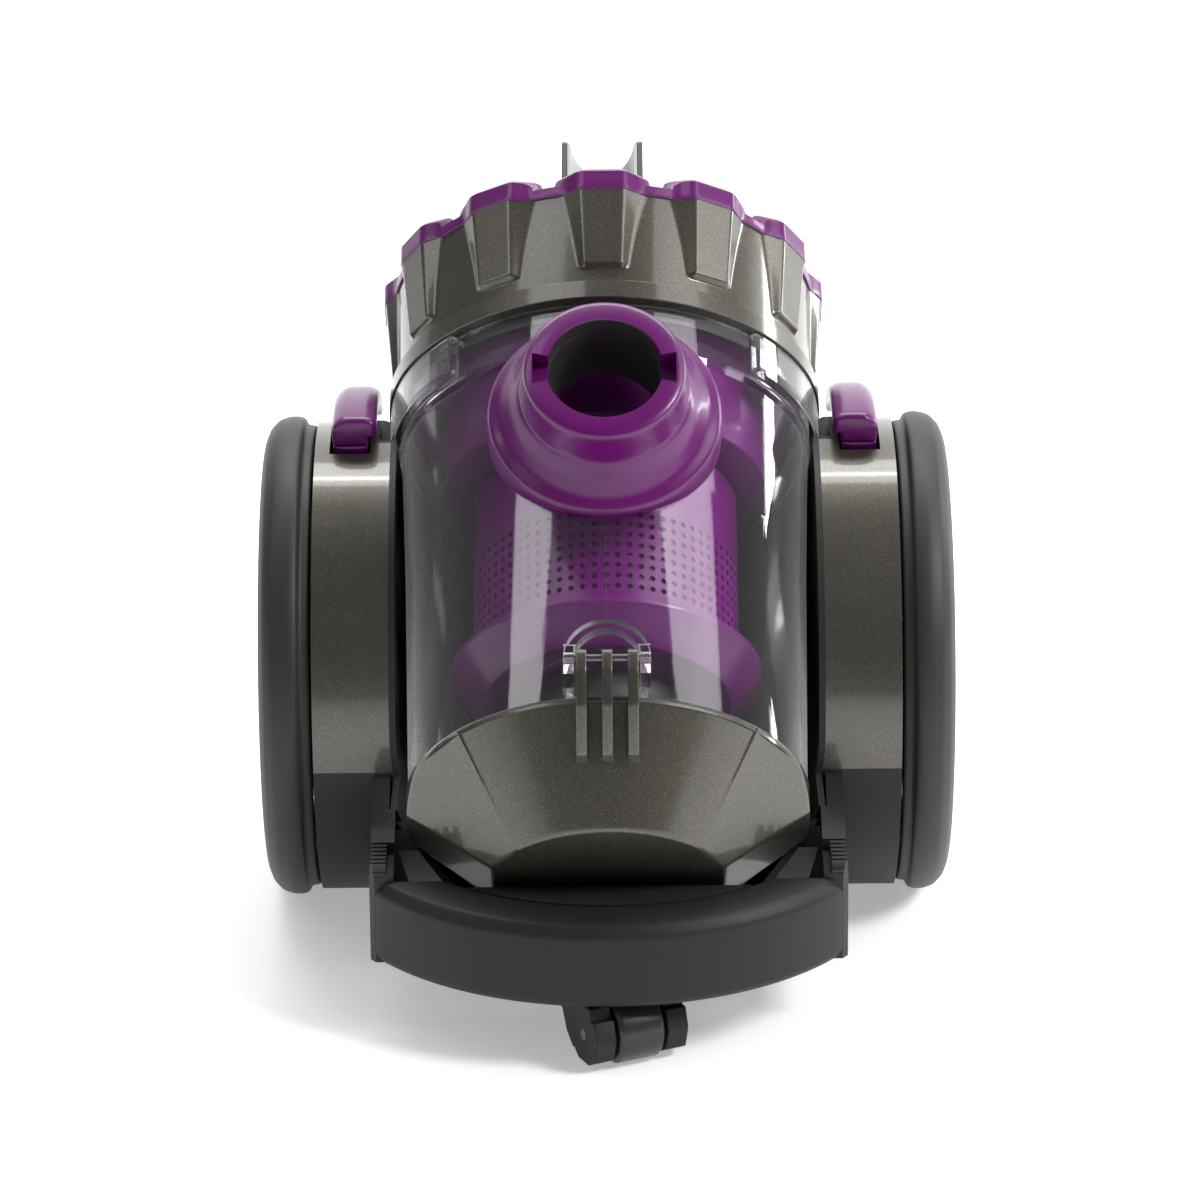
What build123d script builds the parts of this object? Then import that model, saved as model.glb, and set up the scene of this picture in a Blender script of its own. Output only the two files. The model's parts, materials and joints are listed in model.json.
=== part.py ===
from build123d import *
import os
from math import cos, radians, sin

# Canister vacuum cleaner, millimetres. +Z is up, the nose points to -Y, and the
# origin is on the floor under the middle of the whole cleaner.

# ---------------------------------------------------------------- driving dimensions
WHEEL_R = 100.0          # running radius of the two side wheels
AXLE_Y = 39.5            # the wheels' axis
AXLE_Z = WHEEL_R
DRUM_R = 98.0            # body drum, round the wheels' axis
DRUM_HALF = 119.0        # half width of the drum
WALL = 2.5               # moulded wall
SEAM_Z = 85.0            # where the upper shell meets the base
BELLY_Z = 12.0           # underside of the body
NOSE_Y = -166.5          # front of the bumper
REAR_Y = 166.5           # back of the exhaust grille
BUMPER_R = 113.0         # plan radius of the nose
BUMPER_TOP = 63.0
BUMPER_BOTTOM = 28.0
BUMPER_DEPTH = 22.0
ARM_HALF = 95.0          # outside of the two arms that reach to the bumper
PAD_Z = 64.5             # top of the arms, under the ribbed pads
GRILLE_X = 58.0          # half width of the exhaust opening
GRILLE_Z = (32.0, 108.0)
VENT_HINGE = (164.5, 34.5, 1.95)  # the grille's hinge: y, z and radius of its round lower edge
OUTLET = (-82, 163.5, 60)         # the mains lead's bush, low at the back left
POST_X, POST_Y = 104.0, 84.0      # the two screw posts, behind the wheels' axis

TILT = 51.0              # the dust bin leans back from the vertical
BIN_Y = -81.5            # centre of the bin's bottom rim
BIN_Z = 84.0
RIM_R = 80.0             # bin at its bottom rim
COLLAR_R = 85.0          # bin at its top collar
CUP_H = 180.0            # length of the clear cup
HEAD_R = 91.5            # head over its lobes
LOBES = 12
DOOR_D = 43.4            # depth of the bottom door
DOOR_FLOOR_R = 48.6
HINGE_Y, HINGE_S = 86.5, 13.0     # the door's hinge, in front of the bin's rim
HINGE_PIN_R = 1.6
LATCH_Y, LATCH_S = 83.6, 10.0     # the latch pivots behind the rim
LATCH_HALF = 8.0
DUCT_S = 200.0                    # the air duct meets the head this far up the bin

PORT_S = 128.0           # hose inlet: how far up the bin
PORT_Q = 117.0           # and how far its face stands from the bin's axis
HOSE_R = 22.5            # bore that the hose cuff pushes into

SLOT_R = 85.5            # room for the cup in the body
SLOT_HEAD_R = 93.0       # room for the head
SLOT_STEP = 158.5
WELL_FLOOR = -47.0       # end of the well, under the door
WELL_FLOOR_R = 52.5

PIVOT_Y = -132.5         # caster pivot
CASTER_TRAIL = 18.0
CASTER_TURN = 25.0       # the caster rests turned this far to the right
CASTER_R = 13.5

PEDAL_X = (93.5, 112.0)
PEDAL_HINGE = 122.0      # angle of the pedal's hinge, up from the front
PEDAL_PIN_R = 94.0
SPRING_X = 104.3         # pedal springs, and their angle and reach on the drum
SPRING_ANGLE, SPRING_LOW, SPRING_HIGH = 86.0, 80.0, 109.9
MOTOR_Y, MOTOR_Z, MOTOR_R = 93.5, 56.0, 40.0
REEL_X = (-115.0, -97.0)
RUNNING = 0.05           # radial clearance of a turning fit
FAR = 300.0              # longer than anything here, for cutting tools

BIN = Pos(0, BIN_Y, BIN_Z) * Rot(-TILT, 0, 0)
PORT = BIN * Pos(0, 0, PORT_S) * Rot(90, 0, 0)
AXLE = Pos(0, AXLE_Y, AXLE_Z) * Rot(0, 90, 0)


# ---------------------------------------------------------------- helpers
def rod(radius, low, high):
    """A cylinder on Z from low to high."""
    return Pos(0, 0, (low + high) / 2) * Cylinder(radius, high - low)


def ring(outer, inner, low, high):
    return rod(outer, low, high) - rod(inner, low - 1, high + 1)


def turned(*profile):
    """A solid turned about Z from its (radius, height) outline."""
    outline = Polyline(*[(r, 0, z) for r, z in profile], close=True)
    return revolve(make_face(outline), Axis.Z)


def side_plate(outline, x_low, x_high):
    """A plate with a (y, z) outline, from x_low to x_high."""
    face = make_face(Polyline(*[(x_low, y, z) for y, z in outline], close=True))
    return extrude(face, amount=x_high - x_low, dir=(1, 0, 0))


def block(x, y, z):
    """A box from its lowest and highest x, y and z."""
    size = [high - low for low, high in (x, y, z)]
    middle = [(high + low) / 2 for low, high in (x, y, z)]
    return Pos(*middle) * Box(*size)


def sector(start, end, radius, low, high):
    """A pie slice on Z; its angles run from the front, -Y, towards +X."""
    steps = [start + (end - start) * i / 6 for i in range(7)]
    arc = [(radius * sin(radians(a)), -radius * cos(radians(a))) for a in steps]
    face = make_face(Polyline((0, 0), *arc, close=True))
    return Pos(0, 0, low) * extrude(face, amount=high - low, dir=(0, 0, 1))


def along_x(radius, x_low, x_high, y, z):
    """A cylinder along X."""
    return Pos((x_low + x_high) / 2, y, z) * Rot(0, 90, 0) * Cylinder(radius, x_high - x_low)


def mirror_x(shape):
    return mirror(shape, about=Plane.YZ)


def coil(radius, wire, height, turns):
    """A compression spring on Z from 0 to height."""
    path = Pos(0, 0, wire) * Helix(pitch=(height - 2 * wire) / turns, height=height - 2 * wire, radius=radius)
    section = Plane(origin=path @ 0, z_dir=path % 0) * Circle(wire)
    return sweep(section, path=path)


def trough(radius, head_radius, floor_radius, floor, step):
    """The room that the bin lifts out of: a U round the cup and the head, and the door's well."""
    cup = rod(radius, 0, step) + block((-radius, radius), (-FAR, 0), (0, step))
    head = rod(head_radius, step, FAR) + block((-head_radius, head_radius), (-FAR, 0), (step, FAR))
    cone = turned((0, floor), (floor_radius, floor), (radius, 0), (0, 0))
    well = block((-radius, radius), (-FAR, 20), (floor, 0))
    return BIN * (cup + head + cone + well)


# ---------------------------------------------------------------- body
def drum(radius, half):
    return along_x(radius, -half, half, AXLE_Y, AXLE_Z)


def rear_housing(grow):
    """The box behind the drum, with the tower that carries the duct up to the head."""
    box = block((-100 + grow, 100 - grow), (AXLE_Y, 163.5 - grow), (BELLY_Z + grow, 118 - grow))
    tower = block((-45 + grow, 45 - grow), (AXLE_Y + 40, 163.5 - grow), (100, 152 - grow))
    return box + tower


def nose_plan(radius, half, low, high):
    """The front of the base in plan: round in front, straight at the sides."""
    centre = NOSE_Y + BUMPER_R
    return Pos(0, centre, 0) * rod(radius, low, high) + block((-half, half), (centre, AXLE_Y), (low, high))


def nose(radius, half, low, high):
    return nose_plan(radius, half, low, high) & block((-half, half), (NOSE_Y - 1, AXLE_Y), (low, high))


def arms(inner):
    """The two arms' side walls, which fall from the drum to the bumper."""
    outline = [(-40, 28), (-40, 87), (-57.5, 83), (-92.5, 69), (-92.7, PAD_Z), (-117.9, PAD_Z), (-117.9, 28)]
    wall = side_plate(outline, inner, ARM_HALF) & nose_plan(BUMPER_R, ARM_HALF, 0, 100)
    return wall + mirror_x(wall)


BODY_OUT = (drum(DRUM_R, DRUM_HALF) + rear_housing(0)) & block((-FAR, FAR), (-FAR, FAR), (BELLY_Z, FAR))
BODY_IN = (drum(DRUM_R - WALL, DRUM_HALF - WALL) + rear_housing(WALL)) & block(
    (-FAR, FAR), (-FAR, FAR), (BELLY_Z + WALL, FAR))
TROUGH = trough(SLOT_R, SLOT_HEAD_R, WELL_FLOOR_R, WELL_FLOOR, SLOT_STEP)
TROUGH_OUT = trough(SLOT_R + WALL, SLOT_HEAD_R + WALL, WELL_FLOOR_R + WALL, WELL_FLOOR - WALL,
                    SLOT_STEP - WALL)
VENT = block((-GRILLE_X, GRILLE_X), (158, 170), GRILLE_Z)
POSTS = [(x, AXLE_Y + POST_Y) for x in (-POST_X, POST_X)]


def on_drum(radius, angle):
    """The (y, z) of a point at a radius and an angle up from the front of the drum."""
    return AXLE_Y - radius * cos(radians(angle)), AXLE_Z + radius * sin(radians(angle))


def drum_arc(inner, outer, start, end, x_low, x_high):
    """A curved plate on the drum between two angles."""
    steps = [start + (end - start) * i / 8 for i in range(9)]
    outline = [on_drum(outer, a) for a in steps] + [on_drum(inner, a) for a in reversed(steps)]
    return side_plate(outline, x_low, x_high)


def upper_shell():
    shell = (BODY_OUT - BODY_IN) & block((-FAR, FAR), (-FAR, FAR), (SEAM_Z, FAR))
    shell -= TROUGH_OUT
    shell -= VENT
    lug_y, lug_z = on_drum(PEDAL_PIN_R, PEDAL_HINGE)
    for side in (-1, 1):
        window = drum_arc(90, 102, 77.5, 126, 96.4, 113)
        lug = along_x(4.5, 113.2, 117, lug_y, lug_z) - along_x(1.5, 110, 115.6, lug_y, lug_z)
        boss = along_x(14, 118, 122.5, AXLE_Y, AXLE_Z)
        bore = along_x(6, 110, 123, AXLE_Y, AXLE_Z)
        if side < 0:
            window, lug, boss, bore = [mirror_x(s) for s in (window, lug, boss, bore)]
        shell = shell - window + lug + boss - bore
    return shell


def base_shell():
    below = block((-FAR, FAR), (-FAR, FAR), (0, SEAM_Z))
    front = nose(BUMPER_R - BUMPER_DEPTH - 0.3, 88.0 + WALL, BUMPER_BOTTOM, BUMPER_TOP)
    front += arms(88.0)
    front += block((-ARM_HALF, ARM_HALF), (-92, AXLE_Y - 60), (BUMPER_BOTTOM, 66))
    front -= nose(BUMPER_R - BUMPER_DEPTH - 2.8, 86.0, 0, BUMPER_TOP - 3) - drum(DRUM_R, DRUM_HALF)
    front += Pos(0, PIVOT_Y, 0) * rod(11, BUMPER_BOTTOM, BUMPER_TOP - 2)
    front -= Pos(0, PIVOT_Y, 0) * rod(8, 0, 49)
    base = ((BODY_OUT - BODY_IN) & below) + (front - drum(DRUM_R - WALL, DRUM_HALF - WALL))
    base = base - TROUGH_OUT - VENT
    for x, y in POSTS:
        base += Pos(x, y, 0) * ring(4, 1.25, 62, SEAM_Z)
        base -= Pos(x, y, 0) * rod(3, 30, 62)
    return base - Pos(*OUTLET) * Rot(-90, 0, 0) * rod(8, -10, 10)


def arm_pads():
    """Ribbed grip pads on top of the two arms: six ribs across each arm."""
    pad = block((88.4, 94.6), (-117.6, -93), (PAD_Z, PAD_Z + 1.6))
    for i in range(6):
        front = -116.8 + 4.1 * i
        pad += block((88.4, 94.6), (front, front + 2.2), (PAD_Z, PAD_Z + 4.4))
    pad &= nose_plan(BUMPER_R, ARM_HALF, 0, 100)
    return pad + mirror_x(pad)


def bumper():
    """The curved bumper: a C-shaped strip round the nose, with softened edges."""
    inner = BUMPER_R - BUMPER_DEPTH
    strip = nose(BUMPER_R, ARM_HALF, BUMPER_BOTTOM, BUMPER_TOP) - nose_plan(inner, ARM_HALF, 0, 80)
    groove = nose(BUMPER_R - 3, ARM_HALF, 0, BUMPER_TOP - 3) - nose_plan(inner + 3, ARM_HALF, 0, 80)
    strip -= groove & block((-FAR, FAR), (-FAR, -121), (0, 80))
    return strip - block((-FAR, FAR), (-118, FAR), (0, 80))


def bin_cradle():
    """The trough that the bin lies in, cut to the outside of the body."""
    room = BODY_OUT + (arms(80.0) & block((-FAR, FAR), (-FAR, AXLE_Y), (0, FAR)))
    room += nose(BUMPER_R, ARM_HALF, 9, BUMPER_TOP)
    liner = (TROUGH_OUT - TROUGH) & room
    front = block((-FAR, FAR), (-FAR, -118), (0, 90))
    liner -= front - nose_plan(BUMPER_R - BUMPER_DEPTH, ARM_HALF, 0, 90)
    liner -= BIN * block((-13, 13), (78, 95), (-12, 40))
    return liner - BIN * Pos(0, 0, DUCT_S) * Rot(-90, 0, 0) * rod(17, 90, 99)


# ---------------------------------------------------------------- dust bin
CUP_OUT = [(RIM_R, 0), (82, 100), (84, 156), (COLLAR_R, 160), (COLLAR_R, CUP_H)]


def cup_core(grow=0.0):
    """The cup's outside as a filled solid, to cut what sits on it."""
    return turned((0, 0), *[(r + grow, z) for r, z in CUP_OUT], (0, CUP_H))


def bin_cup():
    """The clear cup: a long taper, a collar with two bayonet pockets and the hinge's arch."""
    cup = turned(*CUP_OUT, *[(r - WALL, z) for r, z in reversed(CUP_OUT)])
    pocket = ring(88.9, COLLAR_R - 0.2, 161, CUP_H - 1) & sector(44, 96, FAR, 150, CUP_H)
    pocket -= ring(87.6, 80, 164, CUP_H + 1) & sector(46, 94, FAR, 163, CUP_H + 1)
    pocket -= rod(COLLAR_R - 0.1, 150, 190)
    cup = cup + pocket + mirror_x(pocket)
    arch = block((-17, 17), (-86, -70), (0, 14)) + Pos(0, -78, 14) * Rot(90, 0, 0) * rod(17, -8, 8)
    room = block((-13, 13), (-95, -60), (-1, 14)) + Pos(0, -78, 14) * Rot(90, 0, 0) * rod(13, -18, 18)
    ears = side_plate([(-84, 5), (-91, 10), (-91, 16), (-84, 21)], -17, 17)
    arch = (arch + ears - room - cup_core()) & block((-20, 20), (-95, 0), (0, 40))
    cup = cup + arch
    cup -= along_x(HINGE_PIN_R, -20, 20, -HINGE_Y, HINGE_S)
    cup -= Pos(0, 0, PORT_S) * Rot(90, 0, 0) * rod(25, 60, 100)
    for x in (-LATCH_HALF - 3.2, LATCH_HALF + 0.4):
        ear = side_plate([(79, 4), (86.2, 7.5), (86.2, 12.5), (79, 18)], x, x + 2.8)
        cup += ear - cup_core()
    cup -= along_x(1.0, -14, 14, LATCH_Y, LATCH_S)
    return BIN * cup


def bin_door():
    """The bottom door: a cone in front, flat facets at the sides, hinge ribs and a catch."""
    body = rod(RIM_R + 0.7, -DOOR_D, -0.5)
    cone = turned((0, -DOOR_D), (DOOR_FLOOR_R, -DOOR_D), (RIM_R, 0), (0, 0))
    front = sector(-47, 47, FAR, -DOOR_D - 1, 1)
    rear = sector(100, 180, FAR, -DOOR_D - 1, 1)
    rear += mirror_x(rear)
    body -= (front + rear) - cone
    side = sector(47, 100, FAR, -DOOR_D - 1, 1)
    corner, foot, waist = Vector(60, -54, 0), Vector(35.6, -33, -DOOR_D), Vector(80.7, -7, -12)
    facet = (foot - corner).cross(waist - corner).normalized()
    low, back = Vector(45.2, -13.6, -DOOR_D), Vector(45.2, 30, -DOOR_D)
    flank = (waist - low).cross(back - low).normalized()
    for normal, place in ((facet, foot), (flank, low)):
        outward = normal if normal.X > 0 else normal * -1
        away = Plane(origin=place, z_dir=outward) * Pos(0, 0, FAR / 2) * Box(FAR, FAR, FAR)
        cut = away & side
        body = body - cut - mirror_x(cut)
    body -= turned((0, -DOOR_D + 3), (42, -DOOR_D + 3), (75.5, -0.5), (75.5, 1), (0, 1))
    body -= ring(79.4, 75, -2, 1)
    rib = side_plate([(-90.2, 13), (-90.2, 6), (-84.5, -6), (-70, -21), (-62, -21), (-77.6, -4.4),
                      (-80.4, -0.4), (-81.4, 1), (-82.8, 9), (-82.8, 13)], -2.1, 2.1)
    rib += along_x(3.7, -2.1, 2.1, -HINGE_Y, HINGE_S)
    for x in (-10.1, 0, 10.1):
        body += Pos(x, 0, 0) * rib
    body -= along_x(HINGE_PIN_R + RUNNING, -20, 20, -HINGE_Y, HINGE_S)
    body -= turned((0, -DOOR_D + 3), (42, -DOOR_D + 3), (75.5, -0.5), (75.5, 1), (0, 1))
    catch = block((-6, 6), (76, 82.2), (-4.5, -2.2))
    return BIN * (body + catch)


def door_latch():
    """The sprung latch that hooks under the door's catch at the back of the bin."""
    lever = side_plate([(83.2, -7.5), (85.4, -7.5), (85.4, 28), (83.2, 28)], -LATCH_HALF, LATCH_HALF)
    hook = block((-5.5, 5.5), (80.8, 84), (-7.5, -5.0))
    barrel = along_x(2.4, -LATCH_HALF, LATCH_HALF, LATCH_Y, LATCH_S)
    return BIN * (lever + hook + barrel - along_x(1.0 + RUNNING, -12, 12, LATCH_Y, LATCH_S))


def inlet_port():
    """The hose inlet: a bell that stands on the cup, with a bayonet ring at its mouth."""
    bell = turned((HOSE_R, 70), (HOSE_R, PORT_Q), (29.5, PORT_Q), (31.6, 116.1), (32.5, 114),
                  (33.4, 100), (35, 98), (38, 92.4), (42, 87.2), (46, 84.4), (47, 82.5), (47, 62),
                  (30, 62), (24.7, 70))
    spigot = ring(24.7, HOSE_R, 77.8, 90)
    port = bell - block((-28.5, 28.5), (-5.5, 5.5), (109, 120))
    hollow = turned((26, 80), (26, 96), (31, 96), (36, 90), (42.5, 83), (44.5, 78), (44.5, 60), (26, 60))
    port = PORT * (port - hollow) - BIN * cup_core(0.05)
    return port + PORT * spigot


def inlet_seal():
    return PORT * ring(31, 26.2, 79, 88) - BIN * cup_core(0.05)


# ---------------------------------------------------------------- head and what hangs from it
def head_shell():
    """The twelve-lobed head: a plain collar, a tapered wall and tapered lobes."""
    wall = turned((89.5, 180.3), (89.5, 188.6), (86, 190.6), (87.5, 232), (81.5, 232), (81.5, 192),
                  (82.8, 188), (82.8, 180.3))
    lower = make_face(Polyline((-12.5, -83), (-7.6, -88.3), (7.6, -88.3), (12.5, -83), (12.5, -82.5),
                               (-12.5, -82.5), close=True))
    upper = make_face(Polyline((-16.5, -86.2), (-8.6, -HEAD_R), (8.6, -HEAD_R), (16.5, -86.2), (16.5, -82.5),
                               (-16.5, -82.5), close=True))
    lobe = loft([Pos(0, 0, 197) * lower, Pos(0, 0, 232) * upper], ruled=True)
    head = wall + [Rot(0, 0, 360 * i / LOBES) * lobe for i in range(LOBES)]
    lugs = sector(52, 70, FAR, 150, 190) + sector(-88, -70, FAR, 150, 190)
    head += ring(87.3, COLLAR_R + 0.3, 166, 181) & lugs
    head -= Pos(0, 0, DUCT_S + 3) * Rot(-90, 0, 0) * rod(11, 60, 100)
    return BIN * head


def head_cap():
    """The coloured cap: a low disc with a domed lobe over each lobe of the head."""
    disc = turned((0, 232), (87.5, 232), (88.5, 233.5), (88.5, 236.5), (86, 238.5), (0, 238.5))
    foot = make_face(Polyline((-19.5, -84), (-9.4, -92), (9.4, -92), (19.5, -84), (14, -60), (-14, -60),
                              close=True))
    crown = make_face(Polyline((-15, -83), (-7.5, -89.5), (7.5, -89.5), (15, -83), (11, -62), (-11, -62),
                               close=True))
    lobe = Pos(0, 0, 232) * extrude(foot, amount=8.5)
    lobe += loft([Pos(0, 0, 240.5) * foot, Pos(0, 0, 244) * crown], ruled=True)
    cap = disc + [Rot(0, 0, 360 * i / LOBES) * lobe for i in range(LOBES)]
    cap -= turned((0, 231), (83, 231), (83, 235.5), (0, 235.5))
    return BIN * cap


HANDLE_OUT = [(-52, 238.7), (-45, 288), (-42, 291), (18, 291), (26, 287), (56, 238.7)]
FINGER_GAP = [(-32, 250), (-28, 272), (14, 272), (34, 250)]
HANDLE_HALF = 17.0
CHEEK = 2.4
BUTTON_Y = (-6, 16)


def handle_cheek(side):
    cheek = side_plate(HANDLE_OUT, HANDLE_HALF - CHEEK, HANDLE_HALF)
    cheek -= side_plate(FINGER_GAP, 0, 30)
    return BIN * (cheek if side > 0 else mirror_x(cheek))


def handle_core():
    """The pale grip between the cheeks, hollowed along its outside."""
    half = HANDLE_HALF - CHEEK
    core = side_plate(HANDLE_OUT, -half, half) - side_plate(FINGER_GAP, -30, 30)
    core -= Pos(0, 0, 293) * Rot(90, 0, 0) * rod(14.6, -100, 100)
    core -= Pos(0, -49.5, 262) * Rot(-8.1, 0, 0) * rod(13.2, -60, 60)
    core -= block((-6.2, 6.2), (BUTTON_Y[0] - 0.3, BUTTON_Y[1] + 0.3), (273.5, 300))
    return BIN * core


def release_button():
    return BIN * block((-5.9, 5.9), BUTTON_Y, (277, 284))


def separator_body():
    """The wide drum of the separator, which hangs from the head inside the cup."""
    return BIN * turned((55, 135.2), (67, 139), (67, 172), (72, 176), (79, 178), (79, 182), (81, 182),
                        (81, 190.5), (76, 190.5), (76, 180.5), (70, 178), (64.5, 173), (64.5, 141),
                        (52.6, 137.5), (52.6, 135.2))


def head_gasket():
    return BIN * turned((79.3, 174.5), (82.2, 174.5), (82.3, 180.1), (79.3, 180.1))


def shroud():
    """The mesh shroud, a thin tube."""
    return BIN * ring(54, 52.6, 56, 135)


def shroud_bowl():
    """The bowl under the shroud, which keeps dust from rising again."""
    return BIN * turned((54.2, 55.9), (63, 54.5), (63, 52.5), (50, 40), (30.2, 40), (30.2, 42), (49, 42),
                        (59.5, 52.5), (52.4, 53.8), (52.4, 55.9))


def dust_tube():
    """The inner tube that collects fine dust down to the door."""
    return BIN * turned((30, 4), (30, 60), (44, 134), (52.4, 134), (52.4, 135.9), (42.6, 135.9), (28.2, 60.4),
                        (28.2, 4))


def cyclone_block():
    """Twelve small cyclones in a ring, hung from one plate."""
    cone = turned((4, 176), (11, 205), (11, 226), (9.6, 226), (9.6, 205.4), (2.6, 176))
    plate = rod(80, 224, 226.5)
    cyclones = plate + [Rot(0, 0, 30 * i) * Pos(0, -56, 0) * cone for i in range(LOBES)]
    cyclones -= [Rot(0, 0, 30 * i) * Pos(0, -56, 0) * rod(7, 220, 230) for i in range(LOBES)]
    return BIN * cyclones


# ---------------------------------------------------------------- wheels
def wheel_parts():
    """Tyre, disc and hub cap of the right wheel, on Z along the axle. The tyre's lip reaches the drum."""
    tyre = turned((86, 124), (91, 124), (91, 119.8), (96, 119.8), (96.5, 124), (99.2, 125), (WHEEL_R, 127.5),
                  (WHEEL_R, 131), (98.6, 135.5), (95, 139), (90, 141), (86, 141))
    disc = turned((6 + RUNNING, 123.6), (14, 123.6), (14, 135.6), (60, 136.6), (79, 134.6), (83, 135.6),
                  (83, 124.5), (85.9, 124.5), (85.9, 140.5), (84, 140.5), (80, 137.5), (60, 139.6),
                  (26, 140.4), (26, 138), (6 + RUNNING, 138))
    cap = turned((0, 138.2), (25.8, 138.2), (25.8, 140.6), (22, 142.2), (0, 142.5))
    return tyre, disc, cap


def wheel_side(shape, side):
    placed = AXLE * shape
    return placed if side > 0 else mirror_x(placed)


def wheel_axle():
    return rod(6, 116.5, 137.8)


# ---------------------------------------------------------------- caster
def at_caster(shape):
    return Pos(0, PIVOT_Y, 0) * Rot(0, 0, CASTER_TURN) * shape


def caster_fork():
    """The swivelling fork: a round stem, a flat crown that slopes back, and two deep cheeks."""
    crown = side_plate([(-26, 18), (-24, 26.6), (12, 26.6), (16, 22), (2, 17), (-2, 9), (-8, 4)], -20, 20)
    crown -= along_x(CASTER_R + 1.2, -11.2, 11.2, -CASTER_TRAIL, CASTER_R)
    crown -= block((-11.2, 11.2), (-60, -CASTER_TRAIL), (0, 30))
    cheek_outline = [(-28, 22), (-30.5, 14), (-28, 5), (-22, 1.8), (-13, 1.8), (-7, 6), (-4, 20)]
    cheek = side_plate(cheek_outline, 11.2, 20)
    fork = crown + cheek + mirror_x(cheek)
    fork += rod(5.0, 24, 48)
    fork -= along_x(2.5, -30, 30, -CASTER_TRAIL, CASTER_R)
    return at_caster(fork)


def caster_wheel():
    tread = turned((2.5 + RUNNING, -9.8), (CASTER_R - 1.5, -9.8), (CASTER_R, -8.3), (CASTER_R, 8.3),
                   (CASTER_R - 1.5, 9.8), (2.5 + RUNNING, 9.8))
    return at_caster(Pos(0, -CASTER_TRAIL, CASTER_R) * Rot(0, 90, 0) * tread)


def caster_axle():
    return at_caster(along_x(2.5, -20, 20, -CASTER_TRAIL, CASTER_R))


def caster_socket():
    return Pos(0, PIVOT_Y, 0) * (ring(8, 5 + RUNNING, 28, 48.8) + ring(13, 5 + RUNNING, 27.2, 28))


# ---------------------------------------------------------------- pedals and their springs
def pedal(side):
    """A pedal: a curved cap over the drum, open below, with a hinge barrel at its back."""
    cap = drum_arc(99.3, 112.5, 79, 124.5, *PEDAL_X) + drum_arc(94, 99.4, 79.5, 123, 97.2, 111.4)
    cap -= drum_arc(80, 110, 81, 121, 99.2, 109.4)
    cap -= drum_arc(98, 103.8, 78, 112, PEDAL_X[0] - 1, 96.8)
    y, z = on_drum(PEDAL_PIN_R, PEDAL_HINGE)
    cap += along_x(3.0, 98, 111, y, z)
    cap -= along_x(1.5 + RUNNING, 90, 120, y, z)
    cap -= trough(SLOT_R + 1, SLOT_HEAD_R + 0.4, 50, -40, SLOT_STEP - WALL)
    return cap if side > 0 else mirror_x(cap)


def pedal_pin():
    y, z = on_drum(PEDAL_PIN_R, PEDAL_HINGE)
    return along_x(1.5, 96.2, 115.6, y, z)


def pedal_spring(side):
    y, z = on_drum(SPRING_LOW, SPRING_ANGLE)
    spring = Pos(SPRING_X, y, z) * Rot(90 - SPRING_ANGLE, 0, 0) * coil(3.2, 0.5, SPRING_HIGH - SPRING_LOW, 7)
    return spring if side > 0 else mirror_x(spring)


def spring_seat():
    """A bracket on the inside of the shell's seam that carries the pedal's spring."""
    seat = drum_arc(76.5, SPRING_LOW, 82.5, 89.5, 95.5, 110)
    return seat


# ---------------------------------------------------------------- inside the body
def motor_case():
    case = along_x(MOTOR_R, -52, 52, MOTOR_Y, MOTOR_Z) - along_x(MOTOR_R - 2.5, -49, 49, MOTOR_Y, MOTOR_Z)
    case -= along_x(4 + RUNNING, -60, 60, MOTOR_Y, MOTOR_Z)
    case -= along_x(20, -54, -48, MOTOR_Y, MOTOR_Z) - along_x(7, -54, -48, MOTOR_Y, MOTOR_Z)
    case += block((-53, -49), (MOTOR_Y - 22, MOTOR_Y + 22), (MOTOR_Z - 3, MOTOR_Z + 3)) - along_x(
        4 + RUNNING, -60, 60, MOTOR_Y, MOTOR_Z)
    return case


def motor_mount(x_low):
    mount = along_x(MOTOR_R + 1.3, x_low, x_low + 8, MOTOR_Y, MOTOR_Z) - along_x(
        MOTOR_R, x_low - 1, x_low + 9, MOTOR_Y, MOTOR_Z)
    return mount


def motor_rotor():
    return along_x(4, -54, 54, MOTOR_Y, MOTOR_Z) + along_x(22, -12, 36, MOTOR_Y, MOTOR_Z)


def fan_wheel():
    """The suction fan: a disc with twelve blades."""
    blade = block((4, 33), (-0.8, 0.8), (-42, -30))
    wheel = rod(34, -30, -28) + rod(8, -44, -28)
    wheel += [Rot(0, 0, 30 * i) * blade for i in range(12)]
    wheel -= rod(4, -60, -20)
    return Pos(0, MOTOR_Y, MOTOR_Z) * Rot(0, 90, 0) * wheel


def cord_reel():
    """The reel that the mains lead winds on, between two flanges."""
    low, high = REEL_X
    reel = ring(30, 27.5, low, high) + ring(72, 27.5, low, low + 1.8) + ring(72, 27.5, high - 1.8, high)
    reel += ring(9, 5 + RUNNING, low, high) + ring(28, 8, low + 7, low + 9)
    return AXLE * reel


def reel_spindle():
    return AXLE * rod(5, -116.4, -95.6)


def circuit_board():
    board = block((98, 99.6), (AXLE_Y - 30, AXLE_Y + 30), (70, 128))
    for i in range(3):
        board += along_x(5, 99.6, 112, AXLE_Y - 18 + 16 * i, 116)
    board += block((99.6, 110), (AXLE_Y - 24, AXLE_Y + 20), (76, 92))
    return board


def power_switch():
    y, z = on_drum(70, SPRING_ANGLE)
    return block((98, 110), (y - 9, y + 9), (z - 6, z + 5.6))


def sponge_filter():
    return Pos(0, AXLE_Y + 92, 102) * Rot(90, 0, 0) * rod(17.5, -7, 7)


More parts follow.
